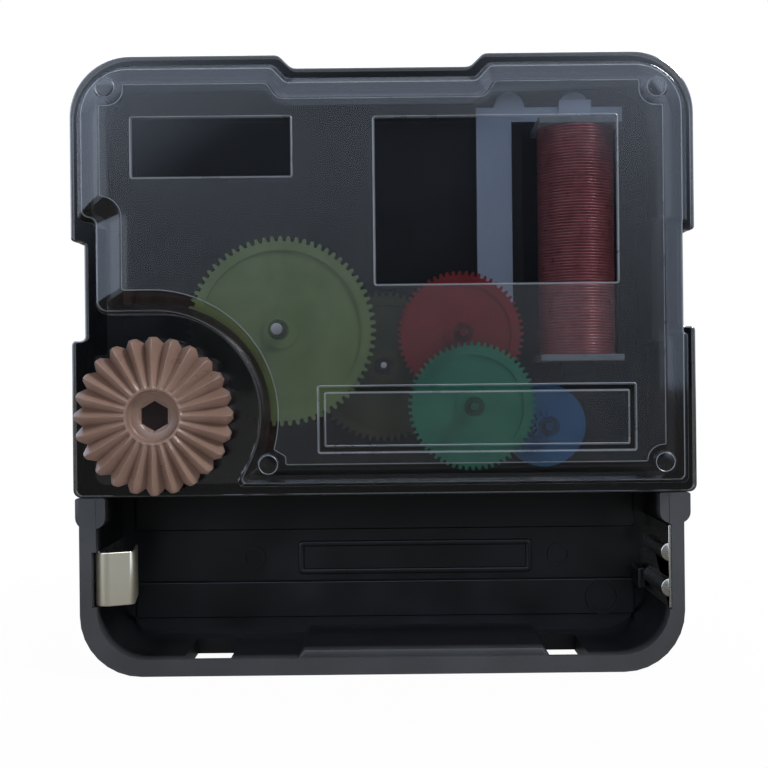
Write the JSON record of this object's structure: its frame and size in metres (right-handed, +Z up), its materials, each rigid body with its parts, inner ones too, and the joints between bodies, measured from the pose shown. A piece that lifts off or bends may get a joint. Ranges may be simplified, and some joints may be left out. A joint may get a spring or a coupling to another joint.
{
  "type": "quartz clock movement",
  "caption": "Battery clock movement with a threaded stem, hour, minute and second shafts, a setting knob and a gear train under a smoke-clear back cover.",
  "frame": {"origin": "on the hands' axis, in the plane of the dial face from which the threaded stem stands out", "axes": "+Y along the stem, out of the dial face towards the hands; +Z up to twelve o'clock; +X to the right as seen from the back"},
  "size_m": [0.056, 0.0295, 0.0557],
  "materials": {
    "black_abs": "moulded, satin gloss",
    "smoke_polystyrene": "clear smoke tint, satin face with polished windows",
    "brass": "machined",
    "natural_acetal": "moulded",
    "beige_brown_abs": "moulded, satin",
    "yellow_green_acetal": "moulded",
    "steel": "ground",
    "olive_acetal": "moulded",
    "red_acetal": "moulded",
    "green_acetal": "moulded",
    "blue_acetal": "moulded",
    "ferrite": "sintered",
    "bright_steel": "punched",
    "pale_blue_nylon": "moulded",
    "red_enamelled_wire": "wound wire",
    "green_board": "solder mask",
    "black_epoxy": "cast",
    "nickel_strip": "plated"
  },
  "bodies": {
    "case": {"front_case": "black_abs", "back_cover": "smoke_polystyrene", "train_plate": "black_abs", "threaded_stem": "brass", "stator_long_arm": "bright_steel", "stator_short_arm": "bright_steel", "coil_core": "bright_steel", "coil_bobbin": "pale_blue_nylon", "coil_winding": "red_enamelled_wire", "circuit_board": "green_board", "ic_blob": "black_epoxy", "quartz_crystal": "steel", "negative_clip": "nickel_strip", "positive_contact": "nickel_strip"},
    "seconds": {"seconds_arbor": "steel", "seconds_wheel": "olive_acetal"},
    "third": {"third_wheel": "yellow_green_acetal"},
    "centre": {"centre_gear": "natural_acetal"},
    "second_reduction": {"red_reduction_wheel": "red_acetal"},
    "first_reduction": {"green_reduction_wheel": "green_acetal"},
    "rotor": {"rotor_wheel": "blue_acetal", "rotor_magnet": "ferrite"},
    "knob": {"setting_knob": "beige_brown_abs", "setting_arbor": "natural_acetal"},
    "idler": {"setting_idler": "natural_acetal"},
    "minute_wheel": {"minute_wheel": "natural_acetal"},
    "minute_tube": {"minute_tube": "brass"},
    "hour": {"hour_wheel": "natural_acetal"},
    "negative_leaf": {"negative_spring_leaf": "nickel_strip"}
  },
  "joints": [
    {"name": "seconds_spin", "type": "hinge", "parent": "case", "child": "seconds", "pos_m": [0, -0.008, 0], "axis": [0, -1, 0], "continuous": true},
    {"name": "third_spin", "type": "hinge", "parent": "case", "child": "third", "pos_m": [-0.00934, -0.0105, 0.00327], "axis": [0, -1, 0], "continuous": true},
    {"name": "centre_spin", "type": "hinge", "parent": "case", "child": "centre", "pos_m": [0, -0.0041, 0], "axis": [0, -1, 0], "continuous": true},
    {"name": "second_reduction_spin", "type": "hinge", "parent": "case", "child": "second_reduction", "pos_m": [0.0071, -0.0096, 0.00285], "axis": [0, -1, 0], "continuous": true},
    {"name": "first_reduction_spin", "type": "hinge", "parent": "case", "child": "first_reduction", "pos_m": [0.00801, -0.0113, -0.00373], "axis": [0, -1, 0], "continuous": true},
    {"name": "rotor_spin", "type": "hinge", "parent": "case", "child": "rotor", "pos_m": [0.01461, -0.0096, -0.00554], "axis": [0, -1, 0], "continuous": true},
    {"name": "setting_knob_turn", "type": "hinge", "parent": "case", "child": "knob", "pos_m": [-0.0203, -0.003, -0.00428], "axis": [0, -1, 0], "continuous": true},
    {"name": "setting_idler_spin", "type": "hinge", "parent": "case", "child": "idler", "pos_m": [-0.01419, -0.003, -0.00299], "axis": [0, -1, 0], "continuous": true},
    {"name": "minute_wheel_spin", "type": "hinge", "parent": "case", "child": "minute_wheel", "pos_m": [-0.00587, -0.003, -0.00124], "axis": [0, -1, 0], "continuous": true},
    {"name": "minute_hand_spin", "type": "hinge", "parent": "case", "child": "minute_tube", "pos_m": [0, -0.003, 0], "axis": [0, -1, 0], "continuous": true},
    {"name": "hour_hand_spin", "type": "hinge", "parent": "case", "child": "hour", "pos_m": [0, -0.002, 0], "axis": [0, -1, 0], "continuous": true},
    {"name": "negative_leaf_flex", "type": "hinge", "parent": "case", "child": "negative_leaf", "pos_m": [-0.02523, -0.01158, -0.019], "axis": [0, 0, 1], "range_deg": [0, 12], "stiffness_Nm_per_rad": 0.3}
  ],
  "couplings": [
    {"joint": "second_reduction_spin", "follows": "seconds_spin", "ratio": -8},
    {"joint": "first_reduction_spin", "follows": "seconds_spin", "ratio": 48},
    {"joint": "rotor_spin", "follows": "seconds_spin", "ratio": -240},
    {"joint": "third_spin", "follows": "seconds_spin", "ratio": -0.16667},
    {"joint": "centre_spin", "follows": "seconds_spin", "ratio": 0.016667},
    {"joint": "setting_idler_spin", "follows": "setting_knob_turn", "ratio": -0.5625},
    {"joint": "minute_wheel_spin", "follows": "setting_knob_turn", "ratio": 0.5},
    {"joint": "minute_hand_spin", "follows": "setting_knob_turn", "ratio": -1.5},
    {"joint": "hour_hand_spin", "follows": "setting_knob_turn", "ratio": -0.125}
  ]
}
